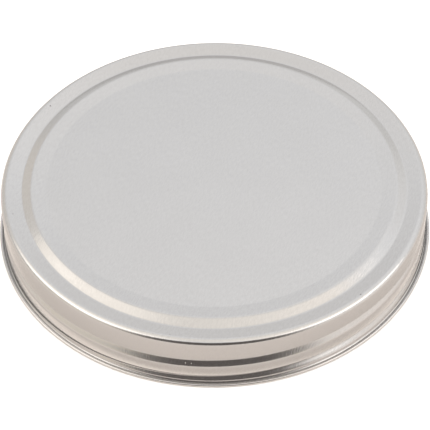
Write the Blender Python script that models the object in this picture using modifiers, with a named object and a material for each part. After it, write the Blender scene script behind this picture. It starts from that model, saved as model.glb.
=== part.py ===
"""One-piece screw lid of pressed tinplate, standing on its rolled hem, with its sealing ring.

The lid closes a wide candle jar or tin. Its shell is one disc of sheet: a raised flat panel,
a sealing channel round it, a rounded shoulder, a skirt with a right-hand thread rolled
into it, and a raw edge curled outwards. The sealing ring lies under the channel.

Run with: blender --background --python part.py
"""

from math import atan2, cos, hypot, pi, radians, sin, tan, tau

import bpy

MM = 0.001

# Driving dimensions, in millimetres. Heights are measured up from the surface it stands on.
HEM_RADIUS = 49.0  # the widest place, over the curled edge
WALL_RADIUS = 47.9  # the skirt's outer face
SHEET = 0.22  # tinplate thickness
PANEL = (37.65, 13.15)  # corners of the outline, as (radius, height): the panel's edge,
CREST = (41.1, 13.47)  # the highest ring, where the panel's border steps down,
FOOT = (43.25, 12.52)  # the bottom of the sealing channel, seen from above,
SHOULDER = (WALL_RADIUS, 13.46)  # and where the channel's outer slope would meet the skirt
PANEL_BEND = 2.0  # outline radii at those corners
CREST_BEND = 1.4
FOOT_BEND = 0.8
SHOULDER_BEND = 1.3

FLARE = radians(45)  # the skirt's foot turns out this far from upright
FLARE_HEIGHT = 0.9  # where the flare would meet the straight skirt
FLARE_BEND = 0.6
HEM_ROLL = 0.70  # height of the curled edge
HEM_BEND = 0.10  # its inner radius
HEM_GAP = 0.15  # between the sheet's raw edge and the skirt

THREAD_PITCH = 5.08  # five threads to the inch, right-handed
THREAD_START = radians(-165)  # where the thread begins, counterclockwise from +X
THREAD_START_TOP = 1.76  # height of the groove's upper edge there
THREAD_SPAN = radians(560)
THREAD_RUN_IN = radians(70)  # where it gets to its full depth
THREAD_RUN_OUT = radians(35)
GROOVE_DEPTH = 0.95
GROOVE_RISE = 0.8  # heights of its steep upper flank and of its longer lower one
GROOVE_FALL = 2.0
GROOVE_LOWEST = 0.95  # its lower flank doesn't reach below this,
GROOVE_SLOPE = 0.6  # so that the groove is no deeper than this part of the flank's height

RING_INNER = 42.3
RING_OUTER = 46.0
RING_BOTTOM = 11.35
RING_GAP = 0.3  # clearance between the ring and the sheet above it
RING_EDGE = 0.25

AROUND = 48  # faces round a full turn
WALL_ROWS = 27  # rows of faces up the skirt
SHARP = radians(50)
TINY = 0.01


def empty_scene():
    """Remove every object of the open file."""
    for old in list(bpy.data.objects):
        bpy.data.objects.remove(old, do_unlink=True)


def new_collection(name):
    collection = bpy.data.collections.new(name)
    bpy.context.scene.collection.children.link(collection)
    return collection


def new_material(name, colour, roughness, metallic):
    """A Principled material of one colour."""
    material = bpy.data.materials.new(name)
    material.use_nodes = True
    shader = material.node_tree.nodes["Principled BSDF"]
    shader.inputs["Base Color"].default_value = (*colour, 1.0)
    shader.inputs["Roughness"].default_value = roughness
    shader.inputs["Metallic"].default_value = metallic
    return material


def arc(centre, radius, start, end, steps):
    """Points of a circular arc from one angle to another, both included."""
    angles = [start + (end - start) * i / steps for i in range(steps + 1)]
    return [(centre[0] + radius * cos(a), centre[1] + radius * sin(a)) for a in angles]


def rounded(corner, before, after, radius, steps):
    """The arc that replaces an outline's corner, tangent to the lines that meet there."""
    to_before = atan2(before[1] - corner[1], before[0] - corner[0])
    to_after = atan2(after[1] - corner[1], after[0] - corner[0])
    between = (to_after - to_before + pi) % tau - pi
    setback = radius / tan(abs(between) / 2)
    bisector = to_before + between / 2
    reach = hypot(radius, setback)
    centre = (corner[0] + reach * cos(bisector), corner[1] + reach * sin(bisector))
    first = (corner[0] + setback * cos(to_before), corner[1] + setback * sin(to_before))
    start = atan2(first[1] - centre[1], first[0] - centre[0])
    turn = pi - abs(between)
    return arc(centre, radius, start, start - turn if between > 0 else start + turn, steps)


def shell_outline():
    """The sheet's outer face, from the panel's centre out, down the skirt and round the hem."""
    centre = (0.0, PANEL[1])
    heel = (WALL_RADIUS, FLARE_HEIGHT)
    sole = (WALL_RADIUS + (FLARE_HEIGHT - SHEET) * tan(FLARE), SHEET)
    low_edge = (HEM_RADIUS - SHEET, SHEET)
    high_edge = (HEM_RADIUS - SHEET, HEM_ROLL - SHEET)
    raw_edge = (
        WALL_RADIUS + (FLARE_HEIGHT - HEM_ROLL + SHEET) * tan(FLARE) + HEM_GAP,
        HEM_ROLL - SHEET,
    )

    top = [centre]
    top += rounded(PANEL, centre, CREST, PANEL_BEND, 2)
    top += rounded(CREST, PANEL, FOOT, CREST_BEND, 3)
    top += rounded(FOOT, CREST, SHOULDER, FOOT_BEND, 3)
    top += rounded(SHOULDER, FOOT, (WALL_RADIUS, 0.0), SHOULDER_BEND, 6)
    flare = rounded(heel, SHOULDER, sole, FLARE_BEND, 3)
    wall_top, wall_end = top[-1][1], flare[0][1]
    rise = (wall_top - wall_end) / WALL_ROWS
    wall = [(WALL_RADIUS, wall_top - rise * row) for row in range(1, WALL_ROWS)]
    curl = rounded(sole, heel, low_edge, HEM_BEND, 2)
    curl += rounded(low_edge, sole, high_edge, HEM_BEND, 2)
    curl += rounded(high_edge, low_edge, raw_edge, HEM_BEND, 2)
    return top + wall + flare + curl + [raw_edge]


def ring_outline():
    """The sealing ring's closed section, as the underside of the channel shapes it."""
    step_slope = (FOOT[1] - CREST[1]) / (FOOT[0] - CREST[0])
    channel_slope = (SHOULDER[1] - FOOT[1]) / (SHOULDER[0] - FOOT[0])
    groove = FOOT[1] - SHEET - RING_GAP
    return [
        (RING_INNER, groove + step_slope * (RING_INNER - FOOT[0])),
        (FOOT[0], groove),
        (RING_OUTER, groove + channel_slope * (RING_OUTER - FOOT[0])),
        (RING_OUTER, RING_BOTTOM + RING_EDGE),
        (RING_OUTER - RING_EDGE, RING_BOTTOM),
        (RING_INNER + RING_EDGE, RING_BOTTOM),
        (RING_INNER, RING_BOTTOM + RING_EDGE),
    ]


def turned(name, outline, closed, collection):
    """An object whose surface is the outline of (radius, height) turned once round Z."""
    points = [(radius * MM, 0.0, height * MM) for radius, height in outline]
    edges = [(i, i + 1) for i in range(len(points) - 1)]
    if closed:
        edges.append((len(points) - 1, 0))
    mesh = bpy.data.meshes.new(name)
    mesh.from_pydata(points, edges, [])
    turned_object = bpy.data.objects.new(name, mesh)
    collection.objects.link(turned_object)

    screw = turned_object.modifiers.new("turn", "SCREW")
    screw.angle = tau
    screw.steps = screw.render_steps = AROUND
    screw.use_merge_vertices = True
    screw.merge_threshold = TINY * MM
    return turned_object


def apply_modifiers(modelled):
    """Keep the evaluated mesh and drop the modifiers that made it."""
    depsgraph = bpy.context.evaluated_depsgraph_get()
    plain = modelled.data
    modelled.data = bpy.data.meshes.new_from_object(modelled.evaluated_get(depsgraph))
    modelled.modifiers.clear()
    bpy.data.meshes.remove(plain)
    modelled.data.name = modelled.name


def ease(value):
    """0 up to 0, 1 from 1 on, and smooth between."""
    value = min(max(value, 0.0), 1.0)
    return value * value * (3.0 - 2.0 * value)


def groove_depth(angle, height):
    """How deep the thread is pressed into the skirt at an angle about Z and a height."""
    first_pass = (angle - THREAD_START) % tau
    deepest = 0.0
    for along in (first_pass, first_pass + tau):
        top = THREAD_START_TOP + THREAD_PITCH * along / tau
        fall = min(max(top - GROOVE_RISE - GROOVE_LOWEST, 0.1), GROOVE_FALL)
        below = top - height
        section = ease(below / GROOVE_RISE) * ease(1 - (below - GROOVE_RISE) / fall)
        depth = min(GROOVE_DEPTH, GROOVE_SLOPE * fall)
        run_in = ease(along / THREAD_RUN_IN)
        run_out = ease((THREAD_SPAN - along) / THREAD_RUN_OUT)
        deepest = max(deepest, depth * section * run_in * run_out)
    return deepest


def press_thread(shell):
    """Push the skirt's points inwards along the thread."""
    for vertex in shell.data.vertices:
        x, y, z = vertex.co / MM
        radius = hypot(x, y)
        if radius > WALL_RADIUS - TINY and z > HEM_ROLL:
            smaller = (radius - groove_depth(atan2(y, x), z)) / radius
            vertex.co.x *= smaller
            vertex.co.y *= smaller


def smooth(modelled):
    modelled.data.shade_smooth()
    modelled.data.set_sharp_from_angle(angle=SHARP)


def make_lid_shell(collection):
    shell = turned("lid_shell", shell_outline(), False, collection)
    apply_modifiers(shell)
    press_thread(shell)
    smooth(shell)
    sheet = shell.modifiers.new("sheet", "SOLIDIFY")
    sheet.thickness = SHEET * MM
    sheet.offset = -1.0
    sheet.use_even_offset = True
    shell.data.materials.append(new_material("tinplate", (0.62, 0.60, 0.57), 0.34, 1.0))
    return shell


def make_sealing_ring(collection):
    ring = turned("sealing_ring", ring_outline(), True, collection)
    apply_modifiers(ring)
    smooth(ring)
    ring.data.materials.append(new_material("sealing_compound", (0.80, 0.79, 0.75), 0.6, 0.0))
    return ring


def main():
    empty_scene()
    lid = new_collection("screw_lid")
    make_lid_shell(lid)
    make_sealing_ring(lid)


main()
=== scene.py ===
"""Looks of the screw lid: the fine tinplate shell and its sealing ring, in soft tent light.

Outlines are in millimetres, as (radius, height) above the surface that the lid stands on.
Directions are given as an azimuth from the front (-Y) towards +X, and an elevation.
"""

from math import atan2, cos, hypot, pi, radians, sin, tan, tau

import bpy
import numpy as np
from mathutils import Matrix, Vector


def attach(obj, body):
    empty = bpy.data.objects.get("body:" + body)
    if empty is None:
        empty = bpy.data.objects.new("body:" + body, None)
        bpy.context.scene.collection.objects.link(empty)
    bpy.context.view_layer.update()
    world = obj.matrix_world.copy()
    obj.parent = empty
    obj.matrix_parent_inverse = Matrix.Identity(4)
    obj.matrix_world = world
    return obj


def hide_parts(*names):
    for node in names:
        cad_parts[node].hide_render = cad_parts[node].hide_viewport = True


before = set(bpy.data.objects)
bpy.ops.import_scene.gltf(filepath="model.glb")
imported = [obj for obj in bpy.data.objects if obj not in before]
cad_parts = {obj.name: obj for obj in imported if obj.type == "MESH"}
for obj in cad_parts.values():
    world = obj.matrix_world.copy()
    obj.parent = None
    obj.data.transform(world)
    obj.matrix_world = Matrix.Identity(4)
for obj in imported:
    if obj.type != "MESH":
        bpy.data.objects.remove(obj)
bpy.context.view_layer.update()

MM = 0.001

# The shell, as in the CAD model
HEM_RADIUS = 49.0
WALL_RADIUS = 47.9
SHEET = 0.22
PANEL = (37.65, 13.15)
CREST = (41.1, 13.47)
FOOT = (43.25, 12.52)
SHOULDER = (WALL_RADIUS, 13.46)
PANEL_BEND = 2.0
CREST_BEND = 1.4
FOOT_BEND = 0.8
SHOULDER_BEND = 1.3
FLARE = radians(45)  # the skirt's foot turns out this far from upright
FLARE_HEIGHT = 0.9  # where the flare would meet the straight skirt
FLARE_BEND = 0.6
HEM_ROLL = 0.70  # height of the curled edge
HEM_BEND = 0.10  # its inner radius
HEM_GAP = 0.02  # between the sheet's raw edge and the skirt

THREAD_PITCH = 5.08
THREAD_START = radians(-165)
THREAD_START_TOP = 1.76
THREAD_SPAN = radians(560)
THREAD_RUN_IN = radians(70)
THREAD_RUN_OUT = radians(35)
GROOVE_DEPTH = 0.95
GROOVE_RISE = 0.8  # heights of its steep upper flank and of its longer lower one
GROOVE_FALL = 2.0
GROOVE_LOWEST = 0.95  # its lower flank doesn't reach below this,
GROOVE_SLOPE = 0.6  # so that the groove is no deeper than this part of the flank's height

RING_INNER = 42.3
RING_OUTER = 46.0
RING_BOTTOM = 11.35
RING_EDGE = 0.45  # radius of its two lower edges

AROUND = 360
WALL_ROWS = 120

# The sheet's surface
GRAIN_DIRECTION = radians(71)  # of the rolling marks, counterclockwise from +X
FINE_GRAIN = (7.0, 0.5, 1.0)  # streaks per millimetre, across and along that direction
COARSE_GRAIN = (3.6, 0.8, 1.0)
CLOUDS_PER_MM = 0.08
GRAIN_HEIGHT = 0.00002
TIN_DARK = (0.586, 0.574, 0.568, 1.0)
TIN_LIGHT = (0.624, 0.612, 0.606, 1.0)

# Marks on the sheet: places and half sizes. Bright scratches in the groove, dark pits above.
SCRATCHES = (
    ((-6.45, -46.80, 5.95), (0.16, 0.5, 0.17)),
    ((-5.20, -46.90, 5.95), (0.14, 0.5, 0.15)),
)
PITS = (
    ((31.05, -34.48, 13.14), (0.16, 0.16, 0.3)),
    ((-9.60, -45.20, 12.98), (0.08, 0.25, 0.3)),
    ((-38.0, 25.6, 13.04), (0.17, 0.2, 0.3)),
    ((-44.65, -9.35, 13.0), (0.12, 0.14, 0.3)),
)

# The tent, seen by the metal only: its tones against the sine of the elevation
TENT_TONES = (
    (0.0, (0.85, 0.85, 0.84)),
    (0.06, (0.83, 0.83, 0.82)),
    (0.23, (0.78, 0.775, 0.76)),
    (0.395, (0.905, 0.90, 0.89)),
    (0.57, (0.93, 0.93, 0.93)),
    (0.68, (1.005, 1.015, 1.03)),
    (0.755, (1.06, 1.06, 1.06)),
    (0.84, (1.06, 1.05, 1.04)),
    (0.93, (1.01, 0.99, 0.96)),
    (1.0, (1.15, 1.10, 1.03)),
)
TENT_PEAK = 1.3  # the ramp holds them divided by this
TENT_LIGHTER_RIGHT = 0.23  # what the sine of the way right adds, in the same units
TENT_LEFT_FOOT = (0.97, 0.89, 0.77, 1.0)  # warmer, low down at the sides
TENT_RIGHT_FOOT = (1.17, 1.09, 1.02, 1.0)

# Its panels: azimuth and elevation, half sizes and half the widths of their soft edges, all in
# degrees, and colours. Each one covers those before it.
TENT_PANELS = (
    ((-138, 24), (16, 14), (8, 10), (0.90, 0.86, 0.80)),  # the tent's warm left back
    ((-84.5, 50), (30, 25), (1.5, 4), (1.45, 1.375, 1.27)),  # left panel
    ((-72, 42), (30, 14), (4, 3), (2.2, 2.1, 1.98)),  # and its bright core
    ((60, 57), (24, 19), (6, 7), (1.31, 1.24, 1.15)),  # right panel
    ((68, 41), (31, 13.5), (3, 3), (2.2, 2.1, 2.0)),  # and its bright core
    ((0, 22), (36, 26), (14, 5), (0.15, 0.135, 0.128)),  # the dark opening
)

# The floor that the metal sees: next to the lid, round it, and far off. Next to the lid it is
# painted light, a lighter ring that lifts the contact shadow which the skirt mirrors. Radii are in
# metres.
PAINTED_LIGHT_NEAR_LID = (0.95, 0.89, 0.84, 1.0)
FLOOR = (0.545, 0.508, 0.480, 1.0)
FLOOR_FAR = (0.70, 0.69, 0.67, 1.0)
PAINTED_LIGHT_ENDS = (0.0498, 0.0512)
FAR_STARTS = (0.15, 0.45)
FLOOR_SEEN = (0.95, 0.95, 0.95, 1.0)

# The view: a long lens, from the front and well above
VIEW_ELEVATION = radians(46.08)
VIEW_DISTANCE = 488.5
VIEW_LENS = 178.57  # on a 36 mm sensor
VIEW_TILT = radians(0.193)
VIEW_PAN = radians(0.019)
VIEW_ROLL = radians(-0.55)


# Outlines

def arc(centre, radius, start, end, steps):
    """Points of a circular arc from one angle to another, both included."""
    angles = [start + (end - start) * i / steps for i in range(steps + 1)]
    return [(centre[0] + radius * cos(a), centre[1] + radius * sin(a)) for a in angles]


def rounded(corner, before, after, radius, steps):
    """The arc that replaces an outline's corner, tangent to the lines that meet there."""
    to_before = atan2(before[1] - corner[1], before[0] - corner[0])
    to_after = atan2(after[1] - corner[1], after[0] - corner[0])
    between = (to_after - to_before + pi) % tau - pi
    setback = radius / tan(abs(between) / 2)
    bisector = to_before + between / 2
    reach = hypot(radius, setback)
    centre = (corner[0] + reach * cos(bisector), corner[1] + reach * sin(bisector))
    first = (corner[0] + setback * cos(to_before), corner[1] + setback * sin(to_before))
    start = atan2(first[1] - centre[1], first[0] - centre[0])
    turn = pi - abs(between)
    return arc(centre, radius, start, start - turn if between > 0 else start + turn, steps)


def line(start, end, steps):
    """The points between two ends, without the ends."""
    return [
        tuple(a + (b - a) * i / steps for a, b in zip(start, end)) for i in range(1, steps)
    ]


def shell_outline():
    """The sheet's outer face, from the panel's centre out, down the skirt and round the hem."""
    heel = (WALL_RADIUS, FLARE_HEIGHT)
    sole = (WALL_RADIUS + (FLARE_HEIGHT - SHEET) * tan(FLARE), SHEET)
    low_edge = (HEM_RADIUS - SHEET, SHEET)
    high_edge = (HEM_RADIUS - SHEET, HEM_ROLL - SHEET)
    raw_edge = (
        WALL_RADIUS + (FLARE_HEIGHT - HEM_ROLL + SHEET) * tan(FLARE) + HEM_GAP,
        HEM_ROLL - SHEET,
    )

    centre = (0.0, PANEL[1])
    border = rounded(PANEL, centre, CREST, PANEL_BEND, 8)
    crest = rounded(CREST, PANEL, FOOT, CREST_BEND, 12)
    foot = rounded(FOOT, CREST, SHOULDER, FOOT_BEND, 12)
    shoulder = rounded(SHOULDER, FOOT, (WALL_RADIUS, 0.0), SHOULDER_BEND, 36)
    flare = rounded(heel, SHOULDER, sole, FLARE_BEND, 10)
    return (
        [centre]
        + line(centre, border[0], 24)
        + border
        + line(border[-1], crest[0], 4)
        + crest
        + line(crest[-1], foot[0], 4)
        + foot
        + line(foot[-1], shoulder[0], 4)
        + shoulder
        + line(shoulder[-1], flare[0], WALL_ROWS)
        + flare
        + rounded(sole, heel, low_edge, HEM_BEND, 6)
        + rounded(low_edge, sole, high_edge, HEM_BEND, 10)
        + rounded(high_edge, low_edge, raw_edge, HEM_BEND, 10)
        + [raw_edge]
    )


def ease(value):
    """0 up to 0, 1 from 1 on, and smooth between."""
    value = np.clip(value, 0.0, 1.0)
    return value * value * (3.0 - 2.0 * value)


def groove_depth(angle, height):
    """How deep the thread is pressed into the skirt, at angles about Z and heights."""
    first_pass = (angle - THREAD_START) % tau
    deepest = np.zeros_like(height)
    for along in (first_pass, first_pass + tau):
        top = THREAD_START_TOP + THREAD_PITCH * along / tau
        fall = np.clip(top - GROOVE_RISE - GROOVE_LOWEST, 0.1, GROOVE_FALL)
        below = top - height
        section = ease(below / GROOVE_RISE) * ease(1 - (below - GROOVE_RISE) / fall)
        depth = np.minimum(GROOVE_DEPTH, GROOVE_SLOPE * fall)
        run_in = ease(along / THREAD_RUN_IN)
        run_out = ease((THREAD_SPAN - along) / THREAD_RUN_OUT)
        deepest = np.maximum(deepest, depth * section * run_in * run_out)
    return deepest


# Meshes

def grid_faces(rows, columns, closed):
    """Quads between the rings of a turned surface; closed also joins the last ring to the first."""
    faces = []
    for row in range(rows if closed else rows - 1):
        here, below = row * columns, (row + 1) % rows * columns
        for column in range(columns):
            beside = (column + 1) % columns
            faces.append((here + column, below + column, below + beside, here + beside))
    return faces


def new_piece(name, points, faces):
    mesh = bpy.data.meshes.new(name)
    mesh.from_pydata((np.asarray(points) * MM).tolist(), [], faces)
    mesh.shade_smooth()
    piece = bpy.data.objects.new(name, mesh)
    bpy.context.scene.collection.objects.link(piece)
    return piece


def turned_points(outline):
    """Radius, height and angle of every point of a turned outline, ring by ring."""
    radius, height = (np.repeat(v, AROUND) for v in np.array(outline).T)
    angle = np.tile(np.arange(AROUND) * tau / AROUND, len(outline))
    return radius, height, angle


def make_shell():
    """The drawn sheet: outer face turned and threaded, thickness added inwards."""
    outline = shell_outline()
    radius, height, angle = turned_points(outline[1:])
    on_skirt = (radius > WALL_RADIUS - 0.001) & (height > HEM_ROLL - SHEET)
    radius = radius - np.where(on_skirt, groove_depth(angle, height), 0.0)
    rings = np.stack([radius * np.cos(angle), radius * np.sin(angle), height], axis=-1)
    points = np.vstack([rings, [0.0, 0.0, outline[0][1]]])

    pole = len(rings)
    faces = grid_faces(len(outline) - 1, AROUND, False)
    faces += [(pole, column, (column + 1) % AROUND) for column in range(AROUND)]
    shell = new_piece("lid_shell_fine", points, faces)

    steps = np.hypot(*np.diff(np.array(outline), axis=0).T)
    flat_radius = np.repeat(np.cumsum(steps), AROUND)
    across = flat_radius * np.cos(angle - GRAIN_DIRECTION + pi / 2)
    along = flat_radius * np.sin(angle - GRAIN_DIRECTION + pi / 2)
    sheet_place = np.vstack([np.stack([across, along], axis=-1), [0.0, 0.0]]) * MM
    corners = np.empty(len(shell.data.loops), dtype=np.int32)
    shell.data.loops.foreach_get("vertex_index", corners)
    grain = shell.data.uv_layers.new(name="sheet")
    grain.data.foreach_set("uv", sheet_place[corners].ravel())

    sheet = shell.modifiers.new("sheet", "SOLIDIFY")
    sheet.thickness = SHEET * MM
    sheet.offset = -1.0
    sheet.use_even_offset = True
    return shell


def ring_outline():
    """The compound's section: it fills the channel's underside and bulges down at its edges."""
    step = (FOOT[1] - CREST[1]) / (FOOT[0] - CREST[0])
    channel = (SHOULDER[1] - FOOT[1]) / (SHOULDER[0] - FOOT[0])
    groove = (FOOT[0], FOOT[1] - SHEET)
    inner_top = (RING_INNER, groove[1] + step * (RING_INNER - FOOT[0]))
    outer_top = (RING_OUTER, groove[1] + channel * (RING_OUTER - FOOT[0]))
    inner_foot = (RING_INNER, RING_BOTTOM)
    outer_foot = (RING_OUTER, RING_BOTTOM)
    return (
        [inner_top]
        + line(inner_top, groove, 4)
        + [groove]
        + line(groove, outer_top, 6)
        + [outer_top]
        + rounded(outer_foot, outer_top, inner_foot, RING_EDGE, 10)
        + line((RING_OUTER - RING_EDGE, RING_BOTTOM), (RING_INNER + RING_EDGE, RING_BOTTOM), 8)
        + rounded(inner_foot, outer_foot, inner_top, RING_EDGE, 10)
    )


def make_ring():
    outline = ring_outline()
    radius, height, angle = turned_points(outline)
    points = np.stack([radius * np.cos(angle), radius * np.sin(angle), height], axis=-1)
    return new_piece("sealing_ring_fine", points, grid_faces(len(outline), AROUND, True))


# Node helpers

class Graph:
    """A node tree with short calls for the nodes used here."""

    def __init__(self, tree):
        self.tree = tree

    def node(self, kind, inputs=None, **settings):
        made = self.tree.nodes.new(kind)
        for name, value in settings.items():
            setattr(made, name, value)
        for name, value in (inputs or {}).items():
            self.set(made.inputs[name], value)
        return made

    def set(self, socket, value):
        if isinstance(value, bpy.types.NodeSocket):
            self.tree.links.new(value, socket)
        else:
            socket.default_value = value

    def math(self, operation, a, b=0.0):
        return self.node("ShaderNodeMath", {0: a, 1: b}, operation=operation).outputs[0]

    def dot(self, vector, fixed):
        dot = self.node("ShaderNodeVectorMath", {0: vector, 1: fixed}, operation="DOT_PRODUCT")
        return dot.outputs["Value"]

    def length(self, vector):
        made = self.node("ShaderNodeVectorMath", {0: vector}, operation="LENGTH")
        return made.outputs["Value"]

    def smooth(self, value, low, high, to_low=0.0, to_high=1.0):
        """The value's smooth step from one bound to the other."""
        sockets = {"Value": value, "From Min": low, "From Max": high}
        sockets.update({"To Min": to_low, "To Max": to_high})
        made = self.node("ShaderNodeMapRange", sockets, interpolation_type="SMOOTHSTEP")
        return made.outputs["Result"]

    def mix(self, factor, a, b):
        """Colour a at factor 0, colour b at 1."""
        made = self.node("ShaderNodeMix", data_type="RGBA")
        for index, value in ((0, factor), (6, a), (7, b)):
            self.set(made.inputs[index], value)
        return made.outputs[2]

    def blend(self, factor, a, b):
        """Number a at factor 0, number b at 1."""
        return self.node("ShaderNodeMix", {0: factor, 2: a, 3: b}, data_type="FLOAT").outputs[0]

    def bump(self, height, strength, distance):
        sockets = {"Strength": strength, "Distance": distance, "Height": height}
        return self.node("ShaderNodeBump", sockets).outputs["Normal"]

    def scale(self, vector, factor):
        made = self.node("ShaderNodeVectorMath", {0: vector, "Scale": factor}, operation="SCALE")
        return made.outputs["Vector"]

    def noise(self, vector, scale, detail=2.0, roughness=0.5):
        sockets = {"Vector": vector, "Scale": scale, "Detail": detail, "Roughness": roughness}
        return self.node("ShaderNodeTexNoise", sockets).outputs["Fac"]

    def spot(self, centre, size):
        """1 inside a small ellipsoid, given in millimetres in the object's own space."""
        place = self.node("ShaderNodeTexCoord").outputs["Object"]
        ends = {0: place, 1: Vector(centre) * MM}
        away = self.node("ShaderNodeVectorMath", ends, operation="SUBTRACT").outputs["Vector"]
        scaled = self.stretch(away, [1 / (half * MM) for half in size])
        return self.smooth(self.length(scaled), 1.0, 0.6)

    def stretch(self, vector, scale):
        return self.node("ShaderNodeMapping", {"Vector": vector, "Scale": scale}).outputs[0]


def new_material(name):
    material = bpy.data.materials.new(name)
    material.use_nodes = True
    graph = Graph(material.node_tree)
    shader = material.node_tree.nodes["Principled BSDF"]
    return material, graph, shader


# Materials

def tinplate_material():
    """Bright tinplate: straight rolling marks, faint clouding and a few dark pits."""
    material, graph, shader = new_material("tinplate_fine")
    place = graph.node("ShaderNodeUVMap", uv_map="sheet").outputs["UV"]
    millimetres = graph.stretch(place, (1000.0, 1000.0, 1.0))

    fine = graph.noise(graph.stretch(millimetres, FINE_GRAIN), 1.0, 3.0, 0.6)
    coarse = graph.noise(graph.stretch(millimetres, COARSE_GRAIN), 1.0, 2.0)
    cloud = graph.noise(millimetres, CLOUDS_PER_MM, 2.0)

    relief = graph.math("ADD", graph.math("MULTIPLY", fine, 0.15), coarse)
    graph.set(shader.inputs["Normal"], graph.bump(relief, 1.0, GRAIN_HEIGHT))

    tone = graph.smooth(coarse, 0.3, 0.7, 0.0, 0.8)
    tone = graph.math("ADD", tone, graph.smooth(cloud, 0.3, 0.7, 0.0, 0.2))
    colour = graph.mix(tone, TIN_DARK, TIN_LIGHT)
    roughness = graph.smooth(coarse, 0.25, 0.75, 0.15, 0.20)
    for marks, mark_colour, mark_roughness in (
        (SCRATCHES, (0.95, 0.93, 0.90, 1.0), 0.6),
        (PITS, (0.12, 0.11, 0.10, 1.0), 0.4),
    ):
        for centre, size in marks:
            mark = graph.spot(centre, size)
            colour = graph.mix(mark, colour, mark_colour)
            roughness = graph.blend(mark, roughness, mark_roughness)
    graph.set(shader.inputs["Base Color"], colour)
    graph.set(shader.inputs["Roughness"], roughness)

    shader.inputs["Metallic"].default_value = 1.0
    shader.inputs["Anisotropic"].default_value = 0.6
    tangent = graph.node("ShaderNodeTangent", direction_type="UV_MAP", uv_map="sheet")
    graph.set(shader.inputs["Tangent"], tangent.outputs["Tangent"])
    return material


def compound_material():
    """Flowed-in sealing compound: matte off-white with a faint skin texture."""
    material, graph, shader = new_material("sealing_compound_fine")
    place = graph.node("ShaderNodeTexCoord").outputs["Object"]
    skin = graph.noise(place, 900.0, 4.0)
    cloud = graph.noise(place, 60.0, 2.0)
    graph.set(shader.inputs["Normal"], graph.bump(skin, 0.35, 0.00005))
    colour = graph.mix(cloud, (0.74, 0.72, 0.66, 1.0), (0.82, 0.81, 0.77, 1.0))
    graph.set(shader.inputs["Base Color"], colour)
    graph.set(shader.inputs["Roughness"], graph.smooth(skin, 0.3, 0.7, 0.45, 0.62))
    shader.inputs["Subsurface Weight"].default_value = 0.1
    shader.inputs["Subsurface Scale"].default_value = 0.001
    return material


def finish_piece(piece, node, material):
    piece.data.materials.append(material)
    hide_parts(node)
    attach(piece, "root")


# Stage

def direction(azimuth, elevation):
    a, e = radians(azimuth), radians(elevation)
    return Vector((sin(a) * cos(e), -cos(a) * cos(e), sin(e)))


def panel_mask(graph, ray, azimuth, elevation, width, height, edges):
    """1 where a ray meets a rectangular light panel. Its sizes are half angles in degrees."""
    ahead = direction(azimuth, elevation)
    right = Vector((0, 0, 1)).cross(ahead).normalized()
    up = ahead.cross(right)
    depth = graph.math("MAXIMUM", graph.dot(ray, ahead), 0.001)
    mask = graph.math("GREATER_THAN", graph.dot(ray, ahead), 0.0)
    for side, half, edge in ((right, width, edges[0]), (up, height, edges[1])):
        off = graph.math("ABSOLUTE", graph.math("DIVIDE", graph.dot(ray, side), depth))
        inner, outer = tan(radians(half - edge)), tan(radians(half + edge))
        mask = graph.math("MULTIPLY", mask, graph.smooth(off, outer, inner))
    return mask


def light_tent():
    """The surroundings: a pale tent, a panel to each side, and the dark opening in front."""
    world = bpy.data.worlds.new("light_tent")
    bpy.context.scene.world = world
    world.use_nodes = True
    world.node_tree.nodes.clear()
    graph = Graph(world.node_tree)
    ray = graph.node("ShaderNodeTexCoord").outputs["Generated"]
    up = graph.node("ShaderNodeSeparateXYZ", {0: ray})

    ramp = graph.node("ShaderNodeValToRGB", {"Fac": up.outputs["Z"]})
    for _ in TENT_TONES[2:]:
        ramp.color_ramp.elements.new(0.5)
    for element, (place, colour) in zip(ramp.color_ramp.elements, TENT_TONES):
        element.position = place
        element.color = (*[part / TENT_PEAK for part in colour], 1.0)
    sideways = graph.math("MULTIPLY", up.outputs["X"], TENT_LIGHTER_RIGHT)
    ramp = graph.scale(ramp.outputs["Color"], graph.math("ADD", sideways, TENT_PEAK))

    rightness = graph.smooth(up.outputs["X"], 0.3, 0.9)
    warm = graph.mix(rightness, TENT_LEFT_FOOT, TENT_RIGHT_FOOT)
    sides = graph.mix(graph.smooth(up.outputs["Y"], 0.6, -0.2), ramp, warm)
    low = graph.smooth(up.outputs["Z"], 0.5, 0.1)
    tent = graph.mix(low, ramp, sides)
    for place, size, edges, colour in TENT_PANELS:
        tent = graph.mix(panel_mask(graph, ray, *place, *size, edges), tent, (*colour, 1.0))

    seen = graph.node("ShaderNodeLightPath").outputs["Is Camera Ray"]
    colour = graph.mix(seen, tent, (1.0, 1.0, 1.0, 1))
    background = graph.node("ShaderNodeBackground", {"Color": colour, "Strength": 1.0})
    output = graph.node("ShaderNodeOutputWorld")
    graph.set(output.inputs["Surface"], background.outputs["Background"])


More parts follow.
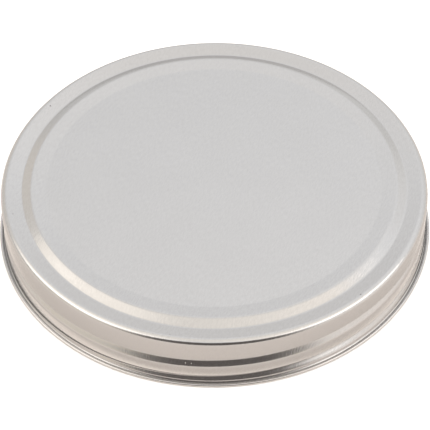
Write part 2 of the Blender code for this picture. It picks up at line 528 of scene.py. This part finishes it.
def floor_sheet(name, height, colour):
    bpy.ops.mesh.primitive_plane_add(size=6.0, location=(0.0, 0.0, height * MM))
    sheet = bpy.context.object
    sheet.name = name
    material, _, shader = new_material(name)
    shader.inputs["Base Color"].default_value = colour
    shader.inputs["Roughness"].default_value = 0.9
    shader.inputs["Specular IOR Level"].default_value = 0.0
    sheet.data.materials.append(material)
    return sheet


def make_floor():
    """A white floor, over a warmer one that only the lid's reflections and shade see. The warmer
    one has painted light next to the lid, a lighter ring against the contact shadow there.
    """
    seen = floor_sheet("floor", -0.02, FLOOR_SEEN)
    for ray in ("diffuse", "glossy", "transmission", "shadow"):
        setattr(seen, f"visible_{ray}", False)
    reflected = floor_sheet("floor_reflected", -0.04, FLOOR)
    reflected.visible_camera = False

    tree = reflected.data.materials[0].node_tree
    graph = Graph(tree)
    place = graph.node("ShaderNodeTexCoord").outputs["Object"]
    radius = graph.length(place)
    colour = graph.mix(graph.smooth(radius, *FAR_STARTS), FLOOR, FLOOR_FAR)
    # Painted light: a lighter ring of floor next to the lid, so the skirt mirrors less of the lid's
    # contact shadow.
    colour = graph.mix(graph.smooth(radius, *PAINTED_LIGHT_ENDS), PAINTED_LIGHT_NEAR_LID, colour)
    graph.set(tree.nodes["Principled BSDF"].inputs["Base Color"], colour)


def top_light():
    """A wide soft light overhead, which the metal itself doesn't mirror."""
    light = bpy.data.lights.new("top_light", "AREA")
    light.size = 1.6
    light.energy = 14.0
    lamp = bpy.data.objects.new("top_light", light)
    lamp.location = (0.0, 0.0, 1.2)
    lamp.visible_glossy = False
    lamp.visible_camera = False
    bpy.context.scene.collection.objects.link(lamp)


def make_camera():
    data = bpy.data.cameras.new("camera")
    data.sensor_width = 36.0
    data.lens = VIEW_LENS
    data.clip_end = 50.0
    camera = bpy.data.objects.new("camera", data)
    bpy.context.scene.collection.objects.link(camera)
    back = direction(0, VIEW_ELEVATION * 180 / pi)
    camera.location = back * VIEW_DISTANCE * MM
    turn = Matrix.Rotation(-VIEW_PAN, 4, "Z")
    tilt = Matrix.Rotation(pi / 2 - VIEW_ELEVATION + VIEW_TILT, 4, "X")
    roll = Matrix.Rotation(VIEW_ROLL, 4, "Z")
    camera.matrix_world = Matrix.Translation(camera.location) @ turn @ tilt @ roll
    bpy.context.scene.camera = camera


finish_piece(make_shell(), "lid_shell", tinplate_material())
finish_piece(make_ring(), "sealing_ring", compound_material())
make_floor()
light_tent()
top_light()
make_camera()
bpy.context.scene.view_settings.view_transform = "Standard"
